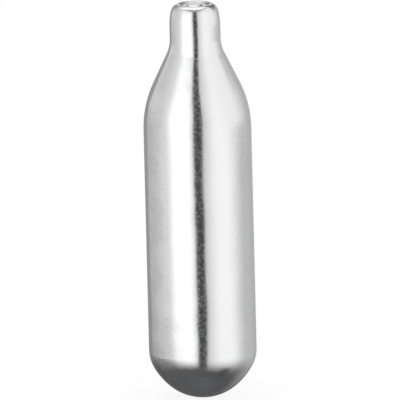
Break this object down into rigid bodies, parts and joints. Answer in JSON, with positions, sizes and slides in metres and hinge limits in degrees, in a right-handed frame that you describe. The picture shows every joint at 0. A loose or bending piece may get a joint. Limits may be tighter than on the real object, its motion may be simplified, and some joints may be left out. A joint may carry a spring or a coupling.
{
  "type": "whipped cream charger",
  "caption": "Sealed steel gas capsule with a domed base, sloped shoulder and slim neck. It is pierced through the cap in its mouth to charge a cream dispenser.",
  "frame": {"origin": "the pole of the domed base, which is the bottom centre of the capsule", "axes": "+Z along the capsule's axis, from the base to the neck and the mouth; the capsule is round, so X and Y are free"},
  "size_m": [0.0176, 0.0176, 0.0653],
  "materials": {
    "shell_steel": "bright tumbled and zinc plated drawn steel",
    "cap_steel": "bright pressed steel sheet",
    "ring_plastic": "natural polyethylene"
  },
  "bodies": {
    "root": {"capsule_shell": "shell_steel", "sealing_cap": "cap_steel", "sealing_ring": "ring_plastic"}
  },
  "joints": []
}
